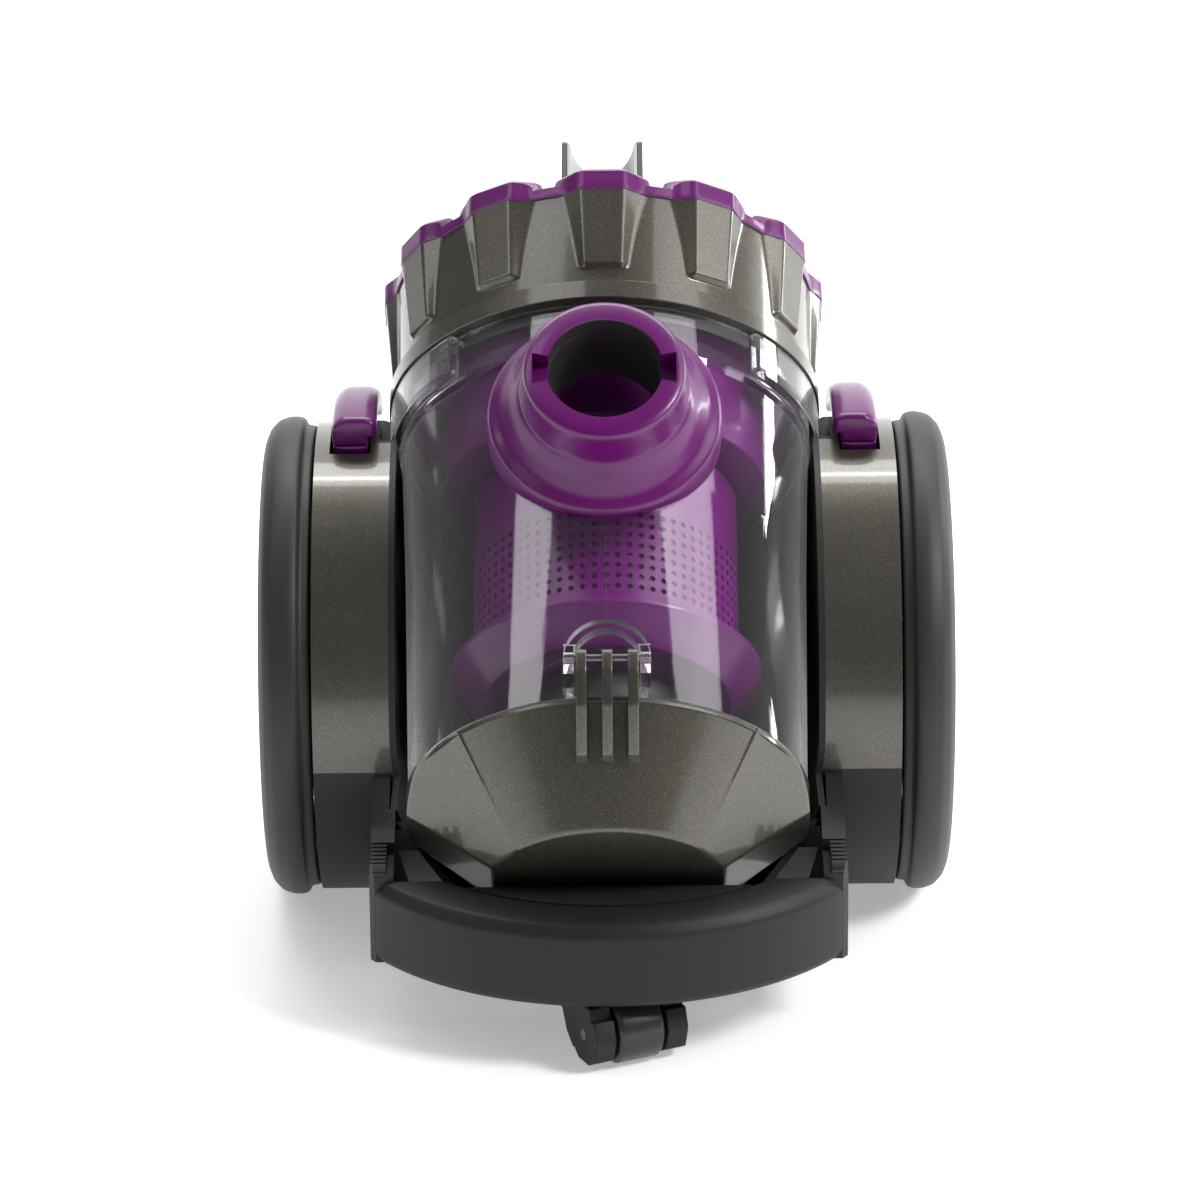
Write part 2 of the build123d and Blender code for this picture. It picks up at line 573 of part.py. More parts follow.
def hepa_filter():
    """The pleated exhaust filter in its frame."""
    depth, half, low, high = (144.5, 156.5), 52, 40, 100
    frame = block((-half, half), depth, (low, high))
    frame -= block((-half + 4, half - 4), (140, 160), (low + 4, high - 4))
    for i in range(12):
        x = -half + 8 + i * 8
        frame += block((x - 2.6, x + 2.6), (146, 155), (low + 3, high - 3))
    return frame + block((-half + 3, half - 3), (149.5, 151.5), (low + 3, high - 3))


def exhaust_grille():
    """The slatted cover over the exhaust filter, hinged along its lower edge."""
    half, low, high = GRILLE_X - 0.5, GRILLE_Z[0] + 0.9, GRILLE_Z[1] - 0.5
    hinge_y, hinge_z, hinge_r = VENT_HINGE
    cover = block((-half, half), (160.8, REAR_Y), (hinge_z, high))
    cover += along_x(hinge_r, -half, half, hinge_y, hinge_z)
    for i in range(7):
        z = low + 12 + i * 9
        cover -= block((-half + 7, half - 7), (158, 170), (z, z + 4.5))
    return cover


def cord_outlet():
    """The bush that the mains lead runs out through, low at the back left."""
    bush = ring(8, 4, -6, 1) + ring(10, 4, 0.2, 2.4)
    return Pos(*OUTLET) * Rot(-90, 0, 0) * bush


def intake_duct():
    """The elbow from the seal under the head to the sponge filter's box."""
    return BIN * Pos(0, 0, DUCT_S) * Rot(-90, 0, 0) * ring(13, 11, 95.6, 103)


def duct_seal():
    lip = Pos(0, 0, DUCT_S) * Rot(-90, 0, 0) * ring(17, 13.2, 85, 97)
    return BIN * (lip - rod(SLOT_HEAD_R - 0.4, 150, 260))


def shell_screws():
    screws = [Pos(x, y, 0) * (rod(1.2, 61, 84) + rod(2.6, 60, 61.9)) for x, y in POSTS]
    return Compound(children=screws)


# ---------------------------------------------------------------- every piece, by name
PARTS = {
    "body_shell": upper_shell,
    "base_shell": base_shell,
    "arm_pads": arm_pads,
    "bumper": bumper,
    "bin_cradle": bin_cradle,
    "bin_cup": bin_cup,
    "bin_door": bin_door,
    "door_gasket": lambda: BIN * ring(79.3, 75.1, -1.9, -0.1),
    "door_hinge_pin": lambda: BIN * along_x(HINGE_PIN_R, -16.5, 16.5, -HINGE_Y, HINGE_S),
    "door_latch": door_latch,
    "latch_pin": lambda: BIN * along_x(1.0, -11, 11, LATCH_Y, LATCH_S),
    "inlet_port": inlet_port,
    "inlet_seal": inlet_seal,
    "head_shell": head_shell,
    "head_cap": head_cap,
    "head_gasket": head_gasket,
    "handle_cheek_left": lambda: handle_cheek(-1),
    "handle_cheek_right": lambda: handle_cheek(1),
    "handle_core": handle_core,
    "release_button": release_button,
    "button_spring": lambda: BIN * Pos(0, 5, 273.6) * coil(3.5, 0.4, 3.3, 3),
    "separator_body": separator_body,
    "shroud": shroud,
    "shroud_bowl": shroud_bowl,
    "dust_tube": dust_tube,
    "cyclone_block": cyclone_block,
    "caster_fork": caster_fork,
    "caster_wheel": caster_wheel,
    "caster_axle": caster_axle,
    "caster_socket": caster_socket,
    "power_pedal": lambda: pedal(1),
    "rewind_pedal": lambda: pedal(-1),
    "pedal_pins": lambda: pedal_pin() + mirror_x(pedal_pin()),
    "power_spring": lambda: pedal_spring(1),
    "rewind_spring": lambda: pedal_spring(-1),
    "spring_seats": lambda: spring_seat() + mirror_x(spring_seat()),
    "motor_case": motor_case,
    "motor_mount_left": lambda: motor_mount(-50),
    "motor_mount_right": lambda: motor_mount(42),
    "motor_rotor": motor_rotor,
    "fan_wheel": fan_wheel,
    "cord_reel": cord_reel,
    "reel_spindle": reel_spindle,
    "circuit_board": circuit_board,
    "power_switch": power_switch,
    "sponge_filter": sponge_filter,
    "hepa_filter": hepa_filter,
    "exhaust_grille": exhaust_grille,
    "cord_outlet": cord_outlet,
    "intake_duct": intake_duct,
    "duct_seal": duct_seal,
    "shell_screws": shell_screws,
}
tyre, disc, cap = wheel_parts()
for side, name in ((-1, "left"), (1, "right")):
    for piece, shape in (("tyre", tyre), ("wheel_disc", disc), ("hub_cap", cap)):
        PARTS[f"{piece}_{name}"] = lambda shape=shape, side=side: wheel_side(shape, side)
PARTS["wheel_axles"] = lambda: wheel_side(wheel_axle(), 1) + wheel_side(wheel_axle(), -1)

os.makedirs("parts", exist_ok=True)
for name, make in PARTS.items():
    shape = make()
    export_step(shape, f"parts/{name}.step")
    print(name, round(shape.volume))
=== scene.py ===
# %% [markdown]
# # A canister vacuum cleaner
#
# The cleaner's engineering model is already packed: every piece has its size, its
# place and the body it moves with. This lesson builds the looks around it. Pieces
# whose real surfaces are curved are worked out again as smooth numpy surfaces;
# flat-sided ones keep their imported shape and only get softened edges.

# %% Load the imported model
import json
import math

import bmesh
import bpy
import numpy as np
from mathutils import Matrix, Vector


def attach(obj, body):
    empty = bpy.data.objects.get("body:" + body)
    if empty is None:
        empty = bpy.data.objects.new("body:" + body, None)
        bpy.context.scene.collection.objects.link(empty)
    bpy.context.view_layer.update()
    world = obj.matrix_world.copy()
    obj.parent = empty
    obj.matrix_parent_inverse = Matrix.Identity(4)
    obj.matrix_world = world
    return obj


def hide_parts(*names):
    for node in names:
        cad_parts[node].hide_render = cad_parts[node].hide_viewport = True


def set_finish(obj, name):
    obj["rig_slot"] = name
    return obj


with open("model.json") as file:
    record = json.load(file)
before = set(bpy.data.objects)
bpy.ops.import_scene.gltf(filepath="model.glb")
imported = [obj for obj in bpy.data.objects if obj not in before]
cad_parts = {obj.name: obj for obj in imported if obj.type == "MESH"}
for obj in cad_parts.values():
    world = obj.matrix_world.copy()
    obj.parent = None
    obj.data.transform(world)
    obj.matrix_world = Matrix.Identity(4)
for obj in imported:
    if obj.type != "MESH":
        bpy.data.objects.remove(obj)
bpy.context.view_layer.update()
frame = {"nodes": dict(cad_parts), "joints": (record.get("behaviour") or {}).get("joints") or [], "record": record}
joints = {joint["name"]: joint for joint in frame["joints"]}
body_of_node = {n: b for b, ns in frame["record"]["behaviour"]["bodies"].items() for n in ns}
slot_of_node = {s["node"]: s["material_slot"] for s in frame["record"]["subparts"]}
MM = 0.001

# %% [markdown]
# ## Where things are
# The bin, its head and its door share one axis that leans back. The twist joint of
# the head lies on it, 200 mm up from the bin's rim, so the joint gives the whole
# bin its place: `at_bin` takes a point across, in front of and along that axis.
# The wheels, the drum and the pedals share the wheels' axle in the same way.

# %% Two frames of reference
ACROSS = np.array([1.0, 0.0, 0.0])
BIN_UP = np.array(joints["head_twist"]["axis"], float)
BIN_FRONT = np.cross(ACROSS, BIN_UP)
BIN_ORIGIN = np.array(joints["head_twist"]["pos_m"], float) - 0.2 * BIN_UP
AXLE = np.array(joints["right_wheel_spin"]["pos_m"], float) * (0, 1, 1)


def at_bin(across, front, along):
    """Points from millimetres across, in front of and along the bin's axis."""
    parts = np.stack(np.broadcast_arrays(across, front, along), -1)
    return BIN_ORIGIN + MM * parts @ np.stack([ACROSS, BIN_FRONT, BIN_UP])


def at_axle(around_y, around_z, along):
    """Points from millimetres behind, above and along the wheels' axle, which points right."""
    parts = np.broadcast_arrays(along, around_y, around_z)
    return AXLE + MM * np.stack(parts, -1)


print("bin origin", BIN_ORIGIN.round(4), "axle", AXLE.round(4))

# %% [markdown]
# ## Surfaces from arrays
# Every curved piece is a grid of points: rows run along a profile and columns run
# round it. `surface` turns such a grid into a mesh, joins its seam and its poles,
# and turns the faces outwards.

# %% Grid to mesh
made = []


def finish_mesh(name, mesh, sharp=40.0, join=1e-6):
    """Merges doubles, turns faces outwards, smooths all but sharp edges and makes the object."""
    edit = bmesh.new()
    edit.from_mesh(mesh)
    bmesh.ops.remove_doubles(edit, verts=edit.verts, dist=join)
    bmesh.ops.dissolve_degenerate(edit, dist=join, edges=edit.edges)
    bmesh.ops.recalc_face_normals(edit, faces=edit.faces)
    edit.to_mesh(mesh)
    edit.free()
    mesh.shade_smooth()
    mesh.set_sharp_from_angle(angle=math.radians(sharp))
    piece = bpy.data.objects.new(name, mesh)
    bpy.context.scene.collection.objects.link(piece)
    made.append(piece)
    return piece


def surface(name, points, wrap_rows=True, sharp=40.0):
    """A mesh from a (rows, columns, 3) grid whose columns always close on themselves."""
    rows, columns = points.shape[:2]
    index = np.arange(rows * columns).reshape(rows, columns)
    last = rows if wrap_rows else rows - 1
    a, b = index, np.roll(index, -1, 0)
    quads = np.stack([a, np.roll(a, -1, 1), np.roll(b, -1, 1), b], -1)[:last].reshape(-1, 4)
    mesh = bpy.data.meshes.new(name)
    mesh.from_pydata(points.reshape(-1, 3).tolist(), [], quads.tolist())
    return finish_mesh(name, mesh, sharp)


def softened(profile, radius=0.8, steps=4):
    """A closed outline with every corner replaced by a small curve: a quadratic blend
    between points one radius before and after the corner. Corners on the axis stay."""
    corner = np.array(profile, float)
    before, after = np.roll(corner, 1, 0) - corner, np.roll(corner, -1, 0) - corner
    lengths = [np.linalg.norm(v, axis=1, keepdims=True) for v in (before, after)]
    reach = np.minimum(radius, 0.45 * np.minimum(*lengths)) * (corner[:, :1] > 0.01)
    start, end = corner + before / lengths[0] * reach, corner + after / lengths[1] * reach
    t = np.linspace(0, 1, steps + 1)[None, :, None]
    curve = (1 - t) ** 2 * start[:, None] + 2 * t * (1 - t) * corner[:, None] + t ** 2 * end[:, None]
    return curve.reshape(-1, 2)


def circle_angles(count):
    """Evenly spaced angles of one whole turn."""
    return np.linspace(0, 2 * math.pi, count, endpoint=False)


def turned(name, profile, place="bin", corner=0.8, around=192):
    """A turned piece: the softened (radius, along) outline carried round an axis."""
    outline = softened(profile, corner)
    angle = circle_angles(around)[None, :]
    r, along = outline[:, :1], outline[:, 1:]
    if place == "bin":
        points = at_bin(r * np.sin(angle), r * np.cos(angle), along + 0 * angle)
    else:
        points = at_axle(r * np.cos(angle), r * np.sin(angle), along + 0 * angle)
    return surface(name, points, sharp=50.0)


def stands_for(piece, *nodes):
    """The piece takes over the place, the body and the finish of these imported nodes."""
    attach(piece, body_of_node[nodes[0]])
    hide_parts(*nodes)
    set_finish(piece, slot_of_node[nodes[0]])
    return piece


# %% [markdown]
# ## Shared finishes
# Moulded plastic is never quite even. Three small node groups hold what several
# finishes share: a fine moulded grain, metal flakes in the plastic, and a painted
# highlight: a lighter colour along convex edges.

# %% Node groups
def new_group(name, inputs, outputs):
    """An empty group with these sockets, and its two end nodes."""
    group = bpy.data.node_groups.new(name, "ShaderNodeTree")
    for label, kind, value in inputs:
        socket = group.interface.new_socket(label, in_out="INPUT", socket_type=kind)
        if value is not None:
            socket.default_value = value
    for label, kind in outputs:
        group.interface.new_socket(label, in_out="OUTPUT", socket_type=kind)
    return group, group.nodes.new("NodeGroupInput"), group.nodes.new("NodeGroupOutput")


def math_node(nodes, links, operation, *values, clamp=False):
    """A Math node; each value is a number or a socket."""
    node = nodes.new("ShaderNodeMath")
    node.operation = operation
    node.use_clamp = clamp
    for slot_number, value in enumerate(values):
        if isinstance(value, (int, float)):
            node.inputs[slot_number].default_value = value
        else:
            links.new(value, node.inputs[slot_number])
    return node.outputs[0]


def noise_node(nodes, links, vector, scale, detail=3.0):
    """The height of a Noise texture; the scale is a number or a socket."""
    node = nodes.new("ShaderNodeTexNoise")
    links.new(vector, node.inputs["Vector"])
    if isinstance(scale, (int, float)):
        node.inputs["Scale"].default_value = scale
    else:
        links.new(scale, node.inputs["Scale"])
    node.inputs["Detail"].default_value = detail
    node.inputs["Roughness"].default_value = 0.55
    return node.outputs["Fac"]


def grain_group():
    """Moulded grain: fine noise as a height, and slow noise as a change of sheen."""
    group, start, end = new_group(
        "moulded_grain",
        [("Scale", "NodeSocketFloat", 1500.0), ("Roughness", "NodeSocketFloat", 0.5),
         ("Variation", "NodeSocketFloat", 0.08)],
        [("Height", "NodeSocketFloat"), ("Roughness", "NodeSocketFloat")])
    nodes, links = group.nodes, group.links
    place = nodes.new("ShaderNodeTexCoord").outputs["Object"]
    fine = noise_node(nodes, links, place, start.outputs["Scale"], 2.0)
    slow = noise_node(nodes, links, place, 22.0, 4.0)
    centred = math_node(nodes, links, "SUBTRACT", slow, 0.5)
    change = math_node(nodes, links, "MULTIPLY", centred, start.outputs["Variation"])
    links.new(fine, end.inputs["Height"])
    total = math_node(nodes, links, "ADD", start.outputs["Roughness"], change, clamp=True)
    links.new(total, end.inputs["Roughness"])
    return group


def flake_group():
    """Metal flakes: tiny cells, each with its own chance of catching the light."""
    group, start, end = new_group(
        "metal_flake",
        [("Scale", "NodeSocketFloat", 3400.0), ("Base", "NodeSocketColor", (0.1, 0.1, 0.1, 1)),
         ("Flake", "NodeSocketColor", (0.5, 0.5, 0.5, 1)), ("Amount", "NodeSocketFloat", 0.3)],
        [("Color", "NodeSocketColor"), ("Mask", "NodeSocketFloat")])
    nodes, links = group.nodes, group.links
    place = nodes.new("ShaderNodeTexCoord").outputs["Object"]
    cells = nodes.new("ShaderNodeTexVoronoi")
    links.new(place, cells.inputs["Vector"])
    links.new(start.outputs["Scale"], cells.inputs["Scale"])
    chance = nodes.new("ShaderNodeSeparateColor")
    links.new(cells.outputs["Color"], chance.inputs["Color"])
    shine = math_node(nodes, links, "POWER", chance.outputs["Red"], 5.0)
    mask = math_node(nodes, links, "MULTIPLY", shine, start.outputs["Amount"], clamp=True)
    mix = nodes.new("ShaderNodeMix")
    mix.data_type = "RGBA"
    links.new(mask, mix.inputs["Factor"])
    links.new(start.outputs["Base"], mix.inputs["A"])
    links.new(start.outputs["Flake"], mix.inputs["B"])
    links.new(mix.outputs["Result"], end.inputs["Color"])
    links.new(mask, end.inputs["Mask"])
    return group


def edge_highlight_group():
    """A painted highlight: a lighter colour along convex edges, from how pointed the surface is."""
    group, start, end = new_group(
        "painted_edge_highlight",
        [("Color", "NodeSocketColor", (0.1, 0.1, 0.1, 1)),
         ("Worn", "NodeSocketColor", (0.3, 0.3, 0.3, 1)), ("Amount", "NodeSocketFloat", 0.5)],
        [("Color", "NodeSocketColor")])
    nodes, links = group.nodes, group.links
    pointed = nodes.new("ShaderNodeNewGeometry").outputs["Pointiness"]
    place = nodes.new("ShaderNodeTexCoord").outputs["Object"]
    raised = math_node(nodes, links, "SUBTRACT", pointed, 0.54)
    strong = math_node(nodes, links, "MULTIPLY", raised, 6.0, clamp=True)
    broken = math_node(nodes, links, "MULTIPLY", strong, noise_node(nodes, links, place, 90.0))
    mask = math_node(nodes, links, "MULTIPLY", broken, start.outputs["Amount"], clamp=True)
    mix = nodes.new("ShaderNodeMix")
    mix.data_type = "RGBA"
    links.new(mask, mix.inputs["Factor"])
    links.new(start.outputs["Color"], mix.inputs["A"])
    links.new(start.outputs["Worn"], mix.inputs["B"])
    links.new(mix.outputs["Result"], end.inputs["Color"])
    return group


# The third group paints a lighter highlight colour on convex edges.
GRAIN, FLAKE, EDGE_HIGHLIGHT = grain_group(), flake_group(), edge_highlight_group()
print("groups", [g.name for g in (GRAIN, FLAKE, EDGE_HIGHLIGHT)])


# %% [markdown]
# ## The finishes
# One function makes every opaque plastic or rubber: a base colour with a painted
# highlight on its convex edges, grain that feeds the bump and the roughness, and plain
# numbers for the coat. The metallic grey adds flakes; the clear cup is glass that lets the lamps through.

# %% Opaque finishes
def place_group(material, group, **values):
    """The group as a node of the material, with these plain values on its sockets."""
    node = material.node_tree.nodes.new("ShaderNodeGroup")
    node.node_tree = group
    for label, value in values.items():
        socket = node.inputs[label]
        socket.default_value = (*value, 1) if isinstance(value, tuple) else value
    return node


def new_material(name):
    """A material, its shader and its links."""
    material = bpy.data.materials.new(name)
    material.use_nodes = True
    return material, material.node_tree.nodes["Principled BSDF"], material.node_tree.links


def moulded(name, color, roughness, edge_highlight=None, grain=1500.0, bump=0.08, variation=0.1, coat=0.0,
            metallic=0.0, flake=None, shine=0.5):
    """A moulded plastic or rubber, with optional flakes under a coat."""
    material, shader, links = new_material(name)
    surface_grain = place_group(material, GRAIN, Scale=grain, Roughness=roughness,
                                Variation=variation)
    links.new(surface_grain.outputs["Roughness"], shader.inputs["Roughness"])
    # Convex edges take a lighter second colour: a painted edge highlight.
    edge = place_group(material, EDGE_HIGHLIGHT, Color=color, Worn=edge_highlight or color, Amount=0.6)
    if flake:
        flakes = place_group(material, FLAKE, Base=color, Flake=flake, Amount=0.3)
        links.new(flakes.outputs["Color"], edge.inputs["Color"])
    links.new(edge.outputs["Color"], shader.inputs["Base Color"])
    height = material.node_tree.nodes.new("ShaderNodeBump")
    height.inputs["Strength"].default_value = bump
    height.inputs["Distance"].default_value = 0.0002
    links.new(surface_grain.outputs["Height"], height.inputs["Height"])
    links.new(height.outputs["Normal"], shader.inputs["Normal"])
    shader.inputs["Metallic"].default_value = metallic
    shader.inputs["Coat Weight"].default_value = coat
    shader.inputs["Coat Roughness"].default_value = 0.08
    shader.inputs["Specular IOR Level"].default_value = shine
    return material


# The second colour of each finish is its painted highlight on convex edges.
FINISHES = {
    "gunmetal_plastic": moulded("gunmetal_plastic", (0.063, 0.058, 0.047), 0.36,
                                edge_highlight=(0.12, 0.115, 0.1), metallic=0.6, flake=(0.34, 0.31, 0.25),
                                coat=0.7, bump=0.03, variation=0.12),
    "base_plastic": moulded("base_plastic", (0.014, 0.0125, 0.0122), 0.52,
                            edge_highlight=(0.05, 0.048, 0.046), bump=0.25, shine=0.3, grain=1800.0),
    "pad_rubber": moulded("pad_rubber", (0.015, 0.0145, 0.0145), 0.6, edge_highlight=(0.05, 0.05, 0.05),
                          bump=0.2),
    "purple_plastic": moulded("purple_plastic", (0.105, 0.0012, 0.107), 0.32,
                              edge_highlight=(0.16, 0.01, 0.17), coat=0.2, bump=0.03, shine=0.4),
    "inner_plastic": moulded("inner_plastic", (0.03, 0.03, 0.03), 0.5),
    "grip_plastic": moulded("grip_plastic", (0.40, 0.40, 0.41), 0.42, edge_highlight=(0.7, 0.7, 0.7),
                            bump=0.1),
    "cheek_plastic": moulded("cheek_plastic", (0.03, 0.03, 0.03), 0.35, edge_highlight=(0.1, 0.1, 0.1)),
    "tyre_rubber": moulded("tyre_rubber", (0.027, 0.0245, 0.024), 0.5, edge_highlight=(0.05, 0.05, 0.05),
                           shine=0.35, bump=0.2, grain=1200.0),
    "roller_plastic": moulded("roller_plastic", (0.02, 0.02, 0.02), 0.3,
                              edge_highlight=(0.08, 0.08, 0.08)),
    "steel": moulded("steel", (0.16, 0.16, 0.16), 0.35, metallic=1.0, bump=0.05),
    "motor_metal": moulded("motor_metal", (0.6, 0.6, 0.6), 0.35, metallic=1.0, bump=0.2),
    "filter_foam": moulded("filter_foam", (0.10, 0.10, 0.11), 0.9, grain=600.0, bump=1.0),
    "filter_paper": moulded("filter_paper", (0.8, 0.8, 0.77), 0.85, grain=900.0, bump=0.5),
}
print("opaque finishes", len(FINISHES))


# %% [markdown]
# The cup is polystyrene: clear, very slightly smoky, with a polished face. Glass
# in a path tracer shadows what is inside it, so rays on their way to a lamp see a
# plain tinted pane instead.

# %% Clear finish
def clear_plastic():
    """Polished glass-like plastic with a faint haze, which casts only a tinted shadow."""
    material, shader, links = new_material("clear_plastic")
    nodes = material.node_tree.nodes
    grain = place_group(material, GRAIN, Scale=60.0, Roughness=0.03, Variation=0.03)
    links.new(grain.outputs["Roughness"], shader.inputs["Roughness"])
    shader.inputs["Base Color"].default_value = (0.93, 0.91, 0.95, 1)
    shader.inputs["Transmission Weight"].default_value = 1.0
    shader.inputs["IOR"].default_value = 1.5
    shader.inputs["Sheen Weight"].default_value = 0.7
    shader.inputs["Sheen Roughness"].default_value = 0.35
    pane = nodes.new("ShaderNodeBsdfTransparent")
    pane.inputs["Color"].default_value = (0.90, 0.89, 0.91, 1)
    path, mix = nodes.new("ShaderNodeLightPath"), nodes.new("ShaderNodeMixShader")
    links.new(path.outputs["Is Shadow Ray"], mix.inputs["Fac"])
    links.new(shader.outputs[0], mix.inputs[1])
    links.new(pane.outputs[0], mix.inputs[2])
    links.new(mix.outputs[0], nodes["Material Output"].inputs["Surface"])
    return material


FINISHES["clear_plastic"] = clear_plastic()
print("finishes", len(FINISHES))

# %% [markdown]
# ## Turned pieces
# Wheels, the gaskets and everything that hangs inside the cup were turned tools
# first, so each is one outline carried round its axis, with its corners softened.

# %% Wheels
OUTLINES = {
    "tyre": ([(86, 124), (91, 124), (91, 119.8), (96, 119.8), (96.5, 124), (99.2, 125),
              (100, 127.5), (100, 131), (98.6, 135.5), (95, 139), (90, 141), (86, 141)], 1.6),
    "wheel_disc": ([(6.1, 123.6), (14, 123.6), (14, 135.6), (60, 136.6), (79, 134.6),
                    (83, 135.6), (83, 124.5), (85.9, 124.5), (85.9, 140.5), (84, 140.5),
                    (80, 137.5), (60, 139.6), (26, 140.4), (26, 138), (6.1, 138)], 0.8),
    "hub_cap": ([(0, 138.2), (25.8, 138.2), (25.8, 140.6), (22, 142.2), (0, 142.5)], 1.0),
}
for side, side_name in ((1, "right"), (-1, "left")):
    for part_name, (outline, corner) in OUTLINES.items():
        sided = [(r, side * x) for r, x in outline]
        piece = turned(f"{part_name}_{side_name}_form", sided, "axle", corner, 256)
        stands_for(piece, f"{part_name}_{side_name}")
print("wheels", len(made))

# %% [markdown]
# Inside the cup hang the drum of the separator, the mesh shroud, its bowl and the
# tube for fine dust.

# %% Inside the cup
INSIDE = {
    "separator_body": ([(55, 135.2), (67, 139), (67, 172), (72, 176), (79, 178), (79, 182),
                        (81, 182), (81, 190.5), (76, 190.5), (76, 180.5), (70, 178),
                        (64.5, 173), (64.5, 141), (52.6, 137.5), (52.6, 135.2)], 1.0),
    "shroud_bowl": ([(54.2, 55.9), (63, 54.5), (63, 52.5), (50, 40), (30.2, 40), (30.2, 42), (49, 42),
                     (59.5, 52.5), (52.4, 53.8), (52.4, 55.9)], 0.7),
    "dust_tube": ([(30, 4), (30, 60), (44, 134), (52.4, 134), (52.4, 135.9), (42.6, 135.9), (28.2, 60.4),
                   (28.2, 4)], 0.5),
    "head_gasket": ([(79.3, 174.5), (82.2, 174.5), (82.3, 180.1), (79.3, 180.1)], 0.5),
}
for node, (outline, corner) in INSIDE.items():
    stands_for(turned(f"{node}_form", outline, "bin", corner), node)
print("pieces inside the cup", len(INSIDE))

# %% [markdown]
# The shroud is a tube pierced by hundreds of small round holes. Each hole sits in
# its own square cell of the tube: two rings of points, one round the hole and one
# along the square, carried through the wall. All cells are made in one array.

# %% Pierced shroud
def pierced_shroud(outer=54, wall=1.4, low=56.0, high=135.0, first=65.0, rows=8, columns=72,
                   pitch=4.86, hole=1.2):
    """Cells of a square with a round hole, on a tube: each cell's ring is wrapped on the radius."""
    turn = circle_angles(16)
    unit = np.stack([np.cos(turn), np.sin(turn)], -1)
    square = unit / np.abs(unit).max(1, keepdims=True)
    half = np.array([math.pi * outer / columns, pitch / 2])
    rings = np.stack([square * half, unit * hole, unit * hole, square * half])
    radius = np.array([outer, outer, outer - wall, outer - wall])[:, None]
    centre_angle = circle_angles(columns)[:, None, None, None]
    centre_height = (first + pitch * np.arange(rows))[None, :, None, None]
    angle = centre_angle + rings[None, None, ..., 0] / outer
    along = centre_height + rings[None, None, ..., 1] + 0 * angle
    r = radius[None, None] + 0 * angle
    points = at_bin(r * np.sin(angle), r * np.cos(angle), along).reshape(-1, 3)
    index = np.arange(columns * rows * 4 * 16).reshape(-1, 4, 16)
    nxt = np.roll(index, -1, 2)
    quads = np.stack([index[:, :-1], nxt[:, :-1], nxt[:, 1:], index[:, 1:]], -1).reshape(-1, 4)
    mesh = bpy.data.meshes.new("shroud_holes")
    mesh.from_pydata(points.tolist(), [], quads.tolist())
    holes = finish_mesh("shroud_holes", mesh, join=2e-5)
    bottom, top = first - pitch / 2, first + pitch * (rows - 0.5)
    band = [(outer, low), (outer, bottom), (outer - wall, bottom), (outer - wall, low)]
    cover = [(outer, top), (outer, high), (outer - wall, high), (outer - wall, top)]
    return [holes] + [turned(f"shroud_{label}", outline, "bin", 0.02, columns * 4)
                      for label, outline in (("foot", band), ("neck", cover))]


for piece in pierced_shroud():
    stands_for(piece, "shroud")

# %% [markdown]
# ## The lobed head
# Twelve tapered ribs stand on the head's wall. Seen from above, a rib is bounded by
# three lines: its flat face and two flanks. The smooth smallest of the three gives
# the rib, and the smooth largest of rib and wall joins them with a fillet.

# %% Smooth joins
def smooth_min(a, b, k):
    """The smaller of two fields, rounded over a width k where they cross."""
    h = np.clip(0.5 + 0.5 * (b - a) / k, 0, 1)
    return b * (1 - h) + a * h - k * h * (1 - h)


def smooth_max(a, b, k):
    """The larger of two fields, rounded in the same way."""
    return -smooth_min(-a, -b, k)


def smooth_step(low, high, x):
    """Nothing below low, one above high, and 3t^2 - 2t^3 between them."""
    t = np.clip((x - low) / (high - low), 0, 1)
    return t * t * (3 - 2 * t)


def lobe_angle(angle):
    """The angle from the nearest of twelve lobes, always positive."""
    step = math.pi / 6
    return np.abs((angle + step / 2) % step - step / 2)


def lobe_radius(angle, face, face_half, foot, foot_half, k=0.6):
    """Where a ray meets a rib: its flat face, or the flank from face corner to foot corner."""
    a = lobe_angle(angle)
    normal = np.stack([face - foot, foot_half - face_half])
    normal = normal / np.linalg.norm(normal, axis=0)
    offset = normal[0] * face_half + normal[1] * face
    flank = offset / (normal[0] * np.sin(a) + normal[1] * np.cos(a))
    return smooth_min(face / np.cos(a), flank, k)


print("a lobe at its middle and its flank", lobe_radius(np.radians([0, 8]), 90.0, 8.0, 85.0, 14.0).round(2))


# %% Head shell
CLOSED = 1e3  # an inset so large that it closes an end to a point


def head_shell(columns=960):
    """The wall's radius along the axis, joined to ribs that widen and stand out towards the top."""
    angle = circle_angles(columns)[None, :]
    s = np.concatenate([[180.3, 180.6, 188.2, 188.6, 189.4, 190.2, 190.8, 192, 194],
                        np.linspace(195, 200, 16), np.linspace(201, 232, 26)])[:, None]
    wall = np.interp(s, [180.3, 180.6, 188.2, 188.6, 190.2, 190.8, 232],
                     [89.2, 89.5, 89.5, 89.2, 86.5, 86.0, 87.5])
    t = (s - 197) / 35
    rib = lobe_radius(angle, 88.3 + 3.2 * t, 7.6 + 1.0 * t, 83 + 3.2 * t, 12.5 + 4.0 * t)
    foot = smooth_step(195.6, 198.2, s)
    outer = wall + (smooth_max(rib, wall, 0.7) - wall) * foot
    back = np.abs((angle + 2 * math.pi) % (2 * math.pi) - math.pi) * 86
    duct = 1 - smooth_step(10.4, 11.2, np.hypot(back, s - 203))
    outer = outer - 4 * duct
    inner_r = np.array([[81.5], [81.5], [82.8], [82.8]]) + 0 * angle
    inner_s = np.array([[232], [192], [188], [180.3]]) + 0 * angle
    r = np.concatenate([outer, inner_r])
    along = np.concatenate([s + 0 * angle, inner_s])
    return surface("head_shell_form", at_bin(r * np.sin(angle), r * np.cos(angle), along), sharp=30)


